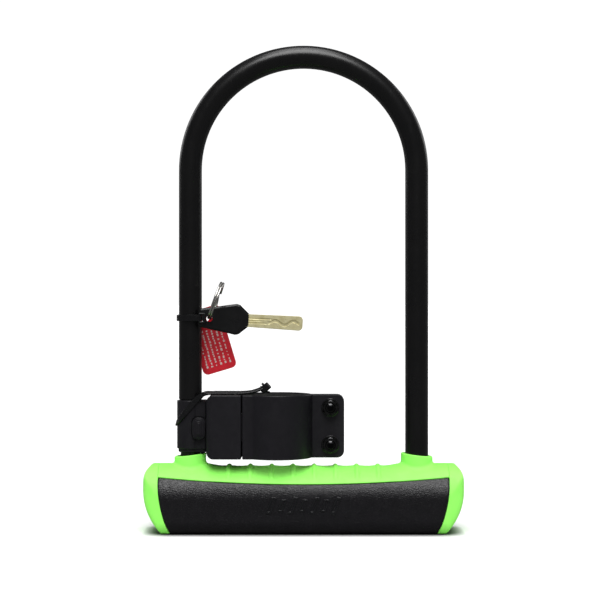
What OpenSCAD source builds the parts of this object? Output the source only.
// U-lock for a bicycle, with its frame bracket, key, key ring and tag.
// Origin: middle of the crossbar's underside. +X along the crossbar, +Z up the shackle, -Y is the front.
// The lock is drawn unlocked, with the shackle pushed home.

/* [Shackle] */
// Diameter of the hardened steel bar
bar_d = 11; // [10.5:0.1:11]
// Wall of the vinyl sleeve on the bar
vinyl_wall = 1; // [0.8:0.1:1]
// Distance between the two leg centres
leg_gap = 128; // [128:0.5:129]
// Height of the bend's centre above the crossbar's underside
bend_z = 204; // [190:1:240]

/* [Crossbar] */
// Length over both bumpers
bar_length = 179.8; // [179.6:0.1:182]
// Outer diameter of the steel tube
tube_d = 31; // [30.8:0.1:31]
// Wall of the steel tube
tube_wall = 2.5; // [2.4:0.1:2.8]
// Depth of the skin from front to back
skin_d = 36; // [36:0.2:37]
// Height of the shoulders under the collars
shoulder_z = 38.9; // [38.5:0.1:39.2]
// Number of ribs on each side of the middle
ribs_per_side = 4; // [1:1:4]

/* [Lock] */
// How far each deadbolt slides
bolt_throw = 6.5; // [6.4:0.05:6.5]
// Diameter of the lock cylinder's body
cylinder_d = 15; // [14:0.5:15]

/* [Bracket] */
// Diameter of the frame tube that the liner grips
frame_tube_d = 34.9; // [34:0.1:35]
// Height of the bracket's block and ring
bracket_h = 35.7; // [34:0.1:36]
// How far the release button travels
button_travel = 1.5; // [1:0.1:1.5]

/* [Key] */
// Droop of the key from level, in degrees
key_droop = 3.3; // [0:0.1:5]
// Lean of the tag from upright, in degrees
tag_lean = 16.7; // [0:0.1:18]

/* [Hidden] */
$fn = 64;

leg_x = leg_gap / 2;
bar_r = bar_d / 2;
vinyl_r = bar_r + vinyl_wall;
foot_z = 8;
vinyl_left_z = 74.3;
vinyl_right_z = 40;

tube_z = 19;
tube_r = tube_d / 2;
tube_end = 82;
tube_bore_r = tube_r - tube_wall;
skin_r = skin_d / 2;
fit = 0.1;
run_fit = 0.05;

panel_end_x = 81.3;
seam_z = 30.3;
seam_r = 72;
panel_top_z = 27.9;
panel_top_r = 960;
belly_x = 58;
belly_z = 1.3;
collar_r = 8.9;
collar_top_z = 43.3;
collar_slope = 7;
collar_bore_r = vinyl_r + 0.3;
shoulder_x = 52;
rib_w = 2.5;
rib_pitch = 12;
rib_r = skin_r + 0.95;

guide_x0 = 50;
guide_x1 = 78;
guide_r = tube_bore_r - run_fit;
leg_bore_r = bar_r + 0.3;
deadbolt_z = [20.8, 28.4];
deadbolt_w = 10;
tip_x = 57.3;
notch_x = 58.5;

cyl_r = cylinder_d / 2;
core_r = 5.5;
core_z = 3.4;
body_top_z = 21;
clip_z = 21.15;
cam_z = 22.3;
cam_h = 2.2;
crank_r = bolt_throw / sqrt(2);
crank_pin_r = 1.5;
tongue_z = [24.7, 28.4];

bezel_z = 1.6;
slide_plate_z = 0.85;

pivot_z = 59.55;
bracket_z = pivot_z - bracket_h / 2;
block_x = [-54.6, -34.9];
block_y = 15;
ring_x = -15;
liner_r = frame_tube_d / 2;
shell_in_r = liner_r + 1.05;
shell_out_r = liner_r + 2.55;
split_y = 0.6;
flange_x = 22.9;
flange_t = 3;
clamp_bolt_x = 15.1;
clamp_bolt_dz = 10.45;
clamp_bolt_r = 2.5;
hinge_x = -37.6;
hinge_y = -9.6;
hinge_r = 1.5;
part_gap_x = -34.2;
sleeve_z = [44.8, 74];
sleeve_r = 6.95;
web_y = 6.6;
button_z = 58.6;

key_x = -56.3;
key_y = -6.2;
key_z = 120.5;
bow_t = 2.8;
blade_t = 2;
tag_y = 6.9;
tag_t = 0.6;
tie_w = 3.7;
tie_t = 1.2;
key_ring_lean = 20;
key_ring_r = 10.6;
wire_r = 0.6;

// ---------- shared shapes ----------

// A shape drawn in (y, z), pushed along +X from x0 to x1.
module along_x(x0, x1) {
    translate([x0, 0, 0])
        rotate([90, 0, 90])
            linear_extrude(x1 - x0)
                children();
}

// A shape drawn in (x, z), pushed through the lock from front to back.
module through_y(depth) {
    translate([0, depth / 2, 0])
        rotate([90, 0, 0])
            linear_extrude(depth)
                children();
}

// The crossbar's section: a round back on straight sides, with rounded lower corners.
module section(top) {
    corner = 7;
    round_z = top - skin_r;
    translate([0, round_z])
        circle(skin_r);
    translate([-skin_r, corner])
        square([skin_d, round_z - corner]);
    translate([corner - skin_r, 0])
        square([skin_d - 2 * corner, corner + 1]);
    for (side = [-1, 1])
        translate([side * (skin_r - corner), corner])
            circle(corner);
}

// Front view of the crossbar's ends: a small radius over a long, undercut one.
module end_outline() {
    wide_z = 25;
    over_r = 16;
    under_r = 38.1;
    half = bar_length / 2;
    for (side = [0, 1])
        mirror([side, 0]) {
            intersection() {
                translate([half - over_r, wide_z])
                    circle(over_r);
                translate([half - over_r, wide_z])
                    square([over_r, over_r]);
            }
            intersection() {
                translate([half - under_r, wide_z])
                    circle(under_r);
                translate([half - under_r, -3])
                    square([under_r, wide_z + 3]);
            }
            translate([0, -3])
                square([half - under_r + 1, 50]);
            translate([0, wide_z - 1])
                square([half - over_r, over_r + 4]);
        }
}

// Top view of the crossbar: straight sides with rounded corners.
module plan_outline() {
    corner = 9;
    half = bar_length / 2;
    for (side = [0, 1])
        mirror([side, 0]) {
            square([half - corner, skin_d / 2 + 2]);
            square([half, skin_d / 2 - corner]);
            translate([half - corner, skin_d / 2 - corner + 0.3])
                circle(corner);
        }
}

// The whole skin as one block, hollowed for the tube.
module skin_block() {
    difference() {
        intersection() {
            union() {
                along_x(-bar_length / 2, bar_length / 2)
                    section(2 * tube_z - 1);
                for (side = [0, 1])
                    mirror([side, 0, 0])
                        along_x(shoulder_x, bar_length / 2)
                            section(shoulder_z);
            }
            through_y(60)
                end_outline();
            union() {
                linear_extrude(60)
                    plan_outline();
                mirror([0, 1, 0])
                    linear_extrude(60)
                        plan_outline();
            }
        }
        translate([-tube_end - fit, 0, tube_z])
            rotate([0, 90, 0])
                cylinder(h = 2 * (tube_end + fit), r = tube_r + fit);
    }
}

// Front view of everything between the two bumpers.
module between_bumpers() {
    translate([-panel_end_x, seam_z])
        square([2 * panel_end_x, 30]);
    for (side = [0, 1])
        mirror([side, 0])
            intersection() {
                translate([panel_end_x - seam_r, seam_z])
                    circle(seam_r, $fn = 128);
                translate([0, -5])
                    square([seam_r + 20, seam_z + 5]);
            }
}

// Everything above the panels' curved top edge.
module above_panels() {
    translate([0, panel_top_z + panel_top_r])
        circle(panel_top_r, $fn = 256);
}

// A box from one corner to the opposite one.
module span_box(low, high) {
    translate(low)
        cube(high - low);
}

// A closed band of four-cornered rings: points, and the direction of the strap's width at each.
module strap_sweep(points, widths, w, t) {
    last = len(points) - 1;
    function unit(v) = v / norm(v);
    function ahead(i) = unit(points[min(i + 1, last)] - points[max(i - 1, 0)]);
    function across(i) = unit(widths[i] - (widths[i] * ahead(i)) * ahead(i));
    function up(i) = cross(ahead(i), across(i));
    corners = [[-1, -1], [1, -1], [1, 1], [-1, 1]];
    skin = [
        for (i = [0 : last])
            for (c = corners)
                points[i] + across(i) * c[0] * w / 2 + up(i) * c[1] * t / 2
    ];
    sides = [
        for (i = [0 : last - 1])
            for (k = [0 : 3])
                let (near = 4 * i + k, next = 4 * i + (k + 1) % 4)
                    each [[near, near + 4, next + 4], [near, next + 4, next]]
    ];
    end = 4 * last;
    caps = [[0, 1, 2], [0, 2, 3], [end + 2, end + 1, end], [end + 3, end + 2, end]];
    polyhedron(skin, concat(sides, caps));
}

// ---------- crossbar ----------

module crossbar_tube() {
    color("dimgray")
        difference() {
            translate([-tube_end, 0, tube_z])
                rotate([0, 90, 0])
                    cylinder(h = 2 * tube_end, r = tube_r);
            translate([-tube_end - 1, 0, tube_z])
                rotate([0, 90, 0])
                    cylinder(h = 2 * tube_end + 2, r = tube_bore_r);
            for (side = [-1, 1])
                translate([side * leg_x, 0, tube_z])
                    cylinder(h = tube_d, r = leg_bore_r);
            cylinder(h = tube_z, r = cyl_r + fit);
            for (side = [-1, 1])
                translate([side * cyl_r, 20, 13])
                    rotate([90, 0, 0])
                        cylinder(h = 40, r = 1.25);
        }
}

module collar(side) {
    difference() {
        translate([side * leg_x, 0, tube_z + 10])
            cylinder(h = 20, r = collar_r);
        translate([side * leg_x, 0, collar_top_z])
            rotate([0, side * collar_slope, 0])
                translate([-20, -20, 0])
                    cube([40, 40, 20]);
    }
}

module rib(x) {
    intersection() {
        translate([x - rib_w / 2, 0, tube_z])
            rotate([0, 90, 0])
                cylinder(h = rib_w, r = rib_r);
        span_box([x - rib_w, -rib_r, 31], [x + rib_w, rib_r, 40]);
    }
}

module cover() {
    color([0.35, 0.95, 0.22])
        difference() {
            union() {
                intersection() {
                    skin_block();
                    through_y(60)
                        intersection() {
                            between_bumpers();
                            above_panels();
                        }
                }
                difference() {
                    union() {
                        for (side = [-1, 1])
                            collar(side);
                        for (i = [0 : ribs_per_side - 1])
                            for (side = [-1, 1])
                                rib(side * rib_pitch * (i + 0.5));
                    }
                    translate([-tube_end, 0, tube_z])
                        rotate([0, 90, 0])
                            cylinder(h = 2 * tube_end, r = tube_r + 1);
                }
            }
            for (side = [-1, 1]) {
                translate([side * leg_x, 0, tube_z])
                    cylinder(h = 30, r = collar_bore_r);
                translate([side * leg_x, 0, tube_z])
                    cylinder(h = 20.7, r = 7.7);
            }
        }
}

module panel_skin() {
    difference() {
        intersection() {
            skin_block();
            through_y(60)
                difference() {
                    between_bumpers();
                    above_panels();
                }
        }
        span_box([-belly_x, -12, -1], [belly_x, 12, belly_z]);
        span_box([-14.2, -9.2, -1], [28.2, 9.2, 3.3]);
        cylinder(h = tube_z, r = cyl_r + fit);
        for (side = [-1, 1])
            translate([side * cyl_r, 20, 13])
                rotate([90, 0, 0])
                    cylinder(h = 40, r = 1.25);
    }
}

module front_panel() {
    bars = 7;
    color([0.12, 0.12, 0.14]) {
        intersection() {
            panel_skin();
            translate([-100, -40, -1])
                cube([200, 40, 50]);
        }
        for (i = [0 : bars - 1])
            translate([(i - (bars - 1) / 2) * 6, -skin_r + 0.9, 16.5])
                rotate([0, 20, 0])
                    cube([3, 2.6, i % 2 == 0 ? 9.2 : 6.8], center = true);
    }
}

module rear_panel() {
    color([0.12, 0.12, 0.14])
        intersection() {
            panel_skin();
            translate([-100, 0, -1])
                cube([200, 40, 50]);
        }
}

module bumper(side) {
    color([0.35, 0.95, 0.22])
        intersection() {
            difference() {
                skin_block();
                through_y(80)
                    between_bumpers();
            }
            translate([side * 100, 0, 0])
                cube([100, 100, 100], center = true);
        }
}

module left_bumper() {
    bumper(-1);
}

module right_bumper() {
    bumper(1);
}

module end_plug(side) {
    color("gray")
        translate([side * 80.2, 0, tube_z])
            rotate([0, 90, 0])
                cylinder(h = 3.6, r = guide_r, center = true);
}

module left_end_plug() {
    end_plug(-1);
}

module right_end_plug() {
    end_plug(1);
}

module shackle_bush(side) {
    color("gainsboro")
        translate([side * leg_x, 0, 34.7])
            difference() {
                cylinder(h = 4.9, r = 7.6);
                translate([0, 0, -1])
                    cylinder(h = 8, r = leg_bore_r);
            }
}

module left_shackle_bush() {
    shackle_bush(-1);
}

module right_shackle_bush() {
    shackle_bush(1);
}

module bolt_guide(side) {
    color("slategray")
        mirror([side < 0 ? 1 : 0, 0, 0])
            difference() {
                translate([guide_x0, 0, tube_z])
                    rotate([0, 90, 0])
                        cylinder(h = guide_x1 - guide_x0, r = guide_r);
                translate([leg_x, 0, foot_z - 0.4])
                    cylinder(h = 40, r = leg_bore_r);
                span_box(
                    [guide_x0 - 1, -deadbolt_w / 2 - 0.2, deadbolt_z[0] - 0.2],
                    [leg_x + 0.4, deadbolt_w / 2 + 0.2, deadbolt_z[1] + 0.2]
                );
            }
}

module left_bolt_guide() {
    bolt_guide(-1);
}

module right_bolt_guide() {
    bolt_guide(1);
}

module cylinder_body() {
    color("silver")
        difference() {
            translate([0, 0, core_z])
                cylinder(h = body_top_z - core_z, r = cyl_r);
            cylinder(h = 30, r = core_r + run_fit);
            for (side = [-1, 1])
                translate([side * cyl_r, 20, 13])
                    rotate([90, 0, 0])
                        cylinder(h = 40, r = 1.25);
        }
}

module keyhole_bezel() {
    rail_y = 6.9;
    color("black")
        difference() {
            union() {
                span_box([-14, -9, bezel_z], [28, 9, 3.2]);
                for (side = [-1, 1])
                    translate([-14, side * 8 - 1, 0.4])
                        cube([42, 2, 1.4]);
            }
            translate([0, 0, -1])
                cylinder(h = 10, r = core_r + 0.4);
            span_box([-12, -rail_y - 0.9, slide_plate_z - 0.15], [26, rail_y + 0.9, bezel_z]);
        }
}

module lock_pins() {
    pin_half = sqrt(tube_r * tube_r - 36) - 0.3;
    color("silver")
        for (side = [-1, 1])
            translate([side * cyl_r, pin_half, 13])
                rotate([90, 0, 0])
                    cylinder(h = 2 * pin_half, r = 1.2);
}

// ---------- lock core ----------

module cylinder_core() {
    color("gold")
        difference() {
            union() {
                translate([0, 0, core_z + 0.2])
                    cylinder(h = body_top_z - core_z - 0.15, r = core_r);
                translate([0, 0, body_top_z])
                    cylinder(h = cam_z - body_top_z, r = 4.2);
            }
            translate([0, 0, 10])
                cube([9.2, 2.4, 17.5], center = true);
            for (i = [0 : 5])
                translate([0, 2.35, 6.5 + 2.2 * i])
                    cube([7.4, 2.3, 1.2], center = true);
        }
}

module core_wafers() {
    color("khaki")
        for (i = [0 : 5])
            translate([(i % 2 == 0 ? 1 : -1) * 0.3, 2.45, 6.5 + 2.2 * i])
                cube([5.6, 2.0, 1.0], center = true);
}

module core_clip() {
    color("dimgray")
        translate([0, 0, clip_z])
            difference() {
                cylinder(h = 0.9, r = 6.6);
                translate([0, 0, -1])
                    cylinder(h = 3, r = 4.25);
                translate([-2.6, -8, -1])
                    cube([5.2, 8, 3]);
            }
}

module drive_cam() {
    color("silver") {
        translate([0, 0, cam_z])
            cylinder(h = cam_h, r = 6.7);
        for (a = [45, 225])
            rotate([0, 0, a])
                translate([crank_r, 0, cam_z + cam_h - 0.5])
                    cylinder(h = 4.6, r = crank_pin_r);
    }
}

// A deadbolt: a slotted tongue over the cam, then a bar out to the tip.
module deadbolt() {
    slot_x = -crank_r * cos(45);
    color("lightsteelblue")
        difference() {
            union() {
                span_box([slot_x - 3.4, -7.4, tongue_z[0]], [16, -1.4, tongue_z[1]]);
                span_box([12, -deadbolt_w / 2, deadbolt_z[0]], [tip_x, deadbolt_w / 2, deadbolt_z[1]]);
            }
            translate([slot_x, -4, 26])
                cube([2 * crank_pin_r + 0.5, 4.6, 10], center = true);
        }
}

module right_bolt() {
    deadbolt();
}

module left_bolt() {
    rotate([0, 0, 180])
        deadbolt();
}

module dust_cover() {
    color([0.2, 0.2, 0.22]) {
        span_box([-8, -6.8, slide_plate_z], [8, 6.8, bezel_z - 0.15]);
        for (i = [-2 : 2])
            translate([1.6 * i, 0, slide_plate_z - 0.2])
                cube([0.7, 8, 0.6], center = true);
    }
}

// ---------- shackle ----------

// A tube or rod along the whole shackle, from a foot height on each leg.
module shackle_run(left_z, right_z, r, bore) {
    module ring() {
        difference() {
            circle(r);
            if (bore > 0)
                circle(bore);
        }
    }
    translate([-leg_x, 0, left_z])
        linear_extrude(bend_z - left_z)
            ring();
    translate([leg_x, 0, right_z])
        linear_extrude(bend_z - right_z)
            ring();
    translate([0, 0, bend_z])
        rotate([90, 0, 0])
            rotate_extrude(angle = 180)
                translate([leg_x, 0])
                    ring();
}

module shackle_bar() {
    color("dimgray")
        difference() {
            shackle_run(foot_z, foot_z, bar_r, 0);
            for (side = [0, 1])
                mirror([side, 0, 0])
                    span_box(
                        [notch_x - 1, -bar_r - 1, deadbolt_z[0] - 0.3],
                        [tip_x + bolt_throw + 0.2, bar_r + 1, deadbolt_z[1] + 0.3]
                    );
        }
}

module shackle_sleeve() {
    color([0.09, 0.09, 0.1])
        shackle_run(vinyl_left_z, vinyl_right_z, vinyl_r, bar_r);
}

// ---------- frame bracket ----------

module mount_sleeve() {
    color([0.14, 0.14, 0.15])
        difference() {
            union() {
                translate([-leg_x, 0, sleeve_z[0] + 2])
                    cylinder(h = sleeve_z[1] - sleeve_z[0] - 2, r = sleeve_r);
                translate([-leg_x, 0, sleeve_z[0]])
                    cylinder(h = 2.1, r = sleeve_r - 0.8);
                span_box([-60, -web_y, sleeve_z[0] + 0.1], [-54.8, web_y, sleeve_z[1] - 0.2]);
                span_box([-55, -4.5, sleeve_z[0] + 0.1], [-52.4, 4.5, sleeve_z[1] - 0.2]);
                span_box([-52.5, -7.5, sleeve_z[0] + 0.1], [-49.5, 7.5, sleeve_z[1] - 0.2]);
            }
            translate([-leg_x, 0, 0])
                cylinder(h = 100, r = bar_r + run_fit);
            span_box([-57.6, -8, button_z - 2.9], [-55.4, 2.6, button_z + 2.7]);
        }
}

// Half of the ring that holds the liner, with a filled corner towards the hinge side and a flange.
module ring_half(inner) {
    difference() {
        union() {
            translate([ring_x, 0, bracket_z])
                cylinder(h = bracket_h, r = shell_out_r);
            span_box([inner, -block_y, bracket_z], [-21, 0, bracket_z + bracket_h]);
            intersection() {
                span_box(
                    [0, -split_y - flange_t, bracket_z],
                    [flange_x, 0, bracket_z + bracket_h]
                );
                union() {
                    span_box([0, -20, bracket_z], [flange_x - 4, 1, bracket_z + bracket_h]);
                    span_box([0, -20, bracket_z + 4], [flange_x, 1, bracket_z + bracket_h - 4]);
                    for (z = [bracket_z + 4, bracket_z + bracket_h - 4])
                        translate([flange_x - 4, 1, z])
                            rotate([90, 0, 0])
                                cylinder(h = 20, r = 4);
                }
            }
        }
        translate([ring_x, 0, 0])
            cylinder(h = 200, r = shell_in_r);
        span_box([-60, -split_y, 0], [40, 40, 120]);
        span_box([-80, -40, 0], [inner, 40, 120]);
        for (side = [-1, 1])
            translate([clamp_bolt_x, 0, pivot_z + side * clamp_bolt_dz])
                rotate([90, 0, 0])
                    cylinder(h = 40, r = clamp_bolt_r + (inner > -35 ? 0.6 : 0.1), center = true);
    }
}

module bracket_block() {
    corner = 4;
    translate([0, 0, bracket_z])
        linear_extrude(bracket_h) {
            translate([block_x[0] + corner, -block_y])
                square([block_x[1] - block_x[0] - corner, 2 * block_y]);
            translate([block_x[0], corner - block_y])
                square([corner + 1, 2 * (block_y - corner)]);
            for (side = [-1, 1])
                translate([block_x[0] + corner, side * (block_y - corner)])
                    circle(corner);
        }
}

module bracket_body() {
    tongue_half = 8.1;
    color([0.11, 0.11, 0.13])
        difference() {
            union() {
                bracket_block();
                mirror([0, 1, 0])
                    ring_half(-35.5);
            }
            span_box([-56, -4.65, 0], [-52.3, 4.65, sleeve_z[1]]);
            span_box([-52.65, -7.65, 0], [-49.35, 7.65, sleeve_z[1]]);
            span_box([-41.6, -13.5, pivot_z - tongue_half], [-34, -5.7, pivot_z + tongue_half]);
            translate([hinge_x, hinge_y, bracket_z + 1.5])
                cylinder(h = bracket_h, r = hinge_r);
        }
}

module clamp_hinge_pin() {
    color("silver")
        translate([hinge_x, hinge_y, bracket_z + 1.5])
            cylinder(h = bracket_h - 2, r = hinge_r);
}

module clamp_front() {
    tongue_half = 7.7;
    color([0.11, 0.11, 0.13])
        difference() {
            union() {
                ring_half(part_gap_x);
                translate([hinge_x, hinge_y, pivot_z - tongue_half])
                    cylinder(h = 2 * tongue_half, r = 3.2);
                span_box(
                    [hinge_x, hinge_y - 2.8, pivot_z - tongue_half],
                    [part_gap_x + 0.8, hinge_y + 2.8, pivot_z + tongue_half]
                );
            }
            translate([hinge_x, hinge_y, 0])
                cylinder(h = 120, r = hinge_r + run_fit);
        }
}

module liner_half() {
    difference() {
        translate([ring_x, 0, bracket_z + 0.8])
            cylinder(h = bracket_h - 1.6, r = shell_in_r - run_fit);
        translate([ring_x, 0, 0])
            cylinder(h = 200, r = liner_r);
        span_box([-60, -split_y - 0.2, 0], [40, 40, 120]);
    }
}

module liner_front() {
    color([0.2, 0.2, 0.2])
        liner_half();
}

module liner_rear() {
    color([0.2, 0.2, 0.2])
        mirror([0, 1, 0])
            liner_half();
}

// Places its children at both clamp bolts, with the bolt's axis along -Y from the front flange.
module at_clamp_bolts() {
    for (side = [-1, 1])
        translate([clamp_bolt_x, 0, pivot_z + side * clamp_bolt_dz])
            rotate([90, 0, 0])
                children();
}

module clamp_bolts() {
    head_y = split_y + flange_t + 0.05;
    end_y = 8.6;
    color("silver")
        at_clamp_bolts() {
            translate([0, 0, -head_y])
                cylinder(h = head_y + end_y, r = clamp_bolt_r);
            translate([0, 0, end_y])
                intersection() {
                    translate([0, 0, -2.6])
                        sphere(sqrt(clamp_bolt_r * clamp_bolt_r + 2.6 * 2.6));
                    cylinder(h = 2, r = clamp_bolt_r);
                }
            translate([0, 0, -head_y - 3.2])
                cylinder(h = 3.2, r = 4.62, $fn = 6);
        }
}

module clamp_washers() {
    color("silver")
        at_clamp_bolts()
            translate([0, 0, split_y + flange_t + 0.03])
                difference() {
                    cylinder(h = 1, r = 5.15);
                    translate([0, 0, -1])
                        cylinder(h = 3, r = clamp_bolt_r + 0.15);
                }
}

module clamp_nuts() {
    color("silver")
        at_clamp_bolts()
            translate([0, 0, split_y + flange_t + 1.05])
                difference() {
                    cylinder(h = 3.6, r = 4.62, $fn = 6);
                    translate([0, 0, -1])
                        cylinder(h = 6, r = clamp_bolt_r + run_fit);
                }
}

module release_button() {
    color([0.14, 0.14, 0.15]) {
        span_box([-62.4, -10.4, button_z - 6.1], [-55.1, -8.7, button_z + 6.1]);
        for (i = [-2 : 2])
            translate([-58.75, -10.45, button_z + 2.2 * i])
                cube([5.6, 0.9, 0.9], center = true);
        span_box([-57.4, -8.8, button_z - 2.6], [-55.6, -2.2, button_z + 2.4]);
    }
}

module button_spring() {
    turns = 5;
    steps = 14;
    coil_r = 0.75;
    y0 = -1.9;
    y1 = 2.35;
    last = turns * steps;
    points = [
        for (i = [0 : last])
            [
                -56.5 + coil_r * cos(360 * i / steps),
                y0 + (y1 - y0) * i / last,
                button_z - 0.1 + coil_r * sin(360 * i / steps)
            ]
    ];
    color("silver")
        strap_sweep(points, [for (i = [0 : last]) [0, 1, 0]], 0.3, 0.3);
}

// The tie lies along the block's top, front and back, and slants down round the outside of the sleeve.
module bracket_tie() {
    top_z = bracket_z + bracket_h + tie_t / 2 + 0.15;
    wrap_r = sleeve_r + tie_t / 2 + 0.15;
    slant = 1.19;
    shoulder_x = -58;
    steps = 20;
    front = [
        [-24, -5.6, top_z + 2.1], [-28, -7.2, top_z + 0.6], [-34, -8.2, top_z],
        [-52, -8.6, top_z], [-56, -8.6, top_z - 0.2]
    ];
    last = len(front) - 1;
    wrap = [
        for (i = [0 : steps])
            let (a = -64 - 232 * i / steps, x = wrap_r * cos(a) - leg_x)
                [x, wrap_r * sin(a), top_z - 0.8 + slant * (x - shoulder_x)]
    ];
    back = [for (i = [last : -1 : 0]) [front[i][0], -front[i][1], front[i][2]]];
    lay = [0, 1, 0];
    color([0.08, 0.08, 0.08]) {
        strap_sweep(
            concat(front, wrap, back),
            concat([for (p = front) lay], [for (p = wrap) [0, 0, -1]], [for (p = back) -lay]),
            3.4,
            tie_t
        );
        span_box([-24.9, -8.1, top_z + 1.1], [-18, 8.1, top_z + 2.7]);
        span_box([-24.7, -7.9, top_z + 1.3], [-18.4, -3.2, top_z + 5]);
    }
}

// ---------- key, ring and tag ----------

module key_tie() {
    wrap_r = vinyl_r + tie_t / 2 + 0.15;
    leg = [-leg_x, 0];
    bend_r = 1.9;
    back_y = 8.3;
    left_x = -leg_x - wrap_r;
    bends = [[left_x + bend_r, back_y - bend_r], [key_x - bend_r, back_y - bend_r]];
    steps = 8;
    function aim(angle) = [cos(angle), sin(angle)];
    function turn(centre, r, from, to) = [
        for (i = [0:steps]) centre + r * aim(from + (to - from) * i / steps)
    ];
    function rim(side) = concat(
        [[key_x - 1.4, -9.5 - side]],
        turn(leg, wrap_r + side, 253, 180),
        turn(bends[0], bend_r + side, 180, 90),
        turn(bends[1], bend_r + side, 90, 0),
        [[key_x + side, -9]]
    );
    outer = rim(tie_t / 2);
    inner = rim(-tie_t / 2);
    last = len(inner) - 1;
    color([0.08, 0.08, 0.08]) {
        translate([0, 0, key_z - tie_w / 2])
            linear_extrude(tie_w)
                polygon(concat(outer, [for (i = [last:-1:0]) inner[i]]));
        span_box([key_x - 2.6, -12.1, key_z - 3], [key_x + 1.6, -7.8, key_z + 3]);
    }
}

// Draws its child in the key's own plane: x along the key from its pivot, y up.
module in_key_plane(y, t) {
    translate([key_x, y, key_z])
        rotate([0, key_droop, 0])
            translate([0, t / 2, 0])
                rotate([90, 0, 0])
                    linear_extrude(t)
                        children();
}

module key_bow() {
    outline = [
        [-2.8, -5], [14, -7.7], [18.3, -8.5], [20.2, -8], [26, -3],
        [26, 3.4], [20.4, 8.4], [18.3, 9], [7.4, 7], [-2.8, 5.1]
    ];
    color([0.1, 0.1, 0.1])
        difference() {
            in_key_plane(key_y, bow_t)
                difference() {
                    polygon(outline);
                    translate([0.4, 0])
                        circle(2.2);
                    translate([3.3, 0])
                        circle(2.2);
                    translate([0.4, -2.2])
                        square([2.9, 4.4]);
                }
            in_key_plane(key_y, blade_t + 0.1)
                translate([17.9, -3.6])
                    square([10, 7.3]);
        }
}

module key_blade() {
    root_x = 18;
    tip_x = 55.9;
    root_h = 3.5;
    tip_h = 4.1;
    chamfer = 2.2;
    waves = 24;
    function track(i) = [29 + i, 0.9 * sin(38 * i) + 0.5 * sin(17 * i)];
    color([0.8, 0.76, 0.6])
        difference() {
            in_key_plane(key_y, blade_t)
                polygon([
                    [root_x, -root_h], [tip_x - chamfer, -tip_h], [tip_x, chamfer - tip_h],
                    [tip_x, tip_h - chamfer], [tip_x - chamfer, tip_h], [root_x, root_h]
                ]);
            in_key_plane(key_y - blade_t / 2, 0.9)
                polygon(concat(
                    [for (i = [0 : waves]) track(i) + [0, 1.1]],
                    [for (i = [waves : -1 : 0]) track(i) - [0, 1.1]]
                ));
        }
}

module key_ring() {
    color("silver")
        translate([-52.9, key_y, key_z - 0.3])
            rotate([0, key_ring_lean, 0])
                translate([0, 0, key_ring_r])
                    for (side = [-1, 1])
                        translate([side * (wire_r + 0.02), 0, 0])
                            rotate([0, 90, 0])
                                rotate_extrude()
                                    translate([key_ring_r, 0])
                                        circle(wire_r);
}

// Draws its child in the tag's plane, with the hole's centre at the origin and y up.
module in_tag_plane(y, t) {
    translate([key_x, y, key_z])
        rotate([0, -tag_lean, 0])
            translate([0, t, 0])
                rotate([90, 0, 0])
                    linear_extrude(t)
                        children();
}

module key_tag() {
    half_w = 9.8;
    corner = 3;
    top = 5.5;
    bottom = -31.8;
    color([0.75, 0.1, 0.12])
        in_tag_plane(tag_y, tag_t)
            difference() {
                union() {
                    translate([corner - half_w, bottom])
                        square([2 * (half_w - corner), top - bottom]);
                    translate([-half_w, bottom + corner])
                        square([2 * half_w, top - bottom - 2 * corner]);
                    for (side = [-1, 1])
                        for (y = [top - corner, bottom + corner])
                            translate([side * (half_w - corner), y])
                                circle(corner);
                }
                circle(2.5);
            }
}

module key_tag_print() {
    color("white")
        in_tag_plane(tag_y - 0.12, 0.12)
            for (i = [0 : 4])
                translate([-6.5 + 3 * i, -27 + 2 * (i % 2)])
                    square([1.2, 18]);
}

crossbar_tube();
cover();
front_panel();
rear_panel();
left_bumper();
right_bumper();
left_end_plug();
right_end_plug();
left_shackle_bush();
right_shackle_bush();
left_bolt_guide();
right_bolt_guide();
cylinder_body();
keyhole_bezel();
lock_pins();
cylinder_core();
core_wafers();
core_clip();
drive_cam();
left_bolt();
right_bolt();
dust_cover();
shackle_bar();
shackle_sleeve();
mount_sleeve();
bracket_body();
clamp_hinge_pin();
clamp_front();
liner_front();
liner_rear();
clamp_bolts();
clamp_washers();
clamp_nuts();
release_button();
button_spring();
bracket_tie();
key_tie();
key_bow();
key_blade();
key_ring();
key_tag();
key_tag_print();
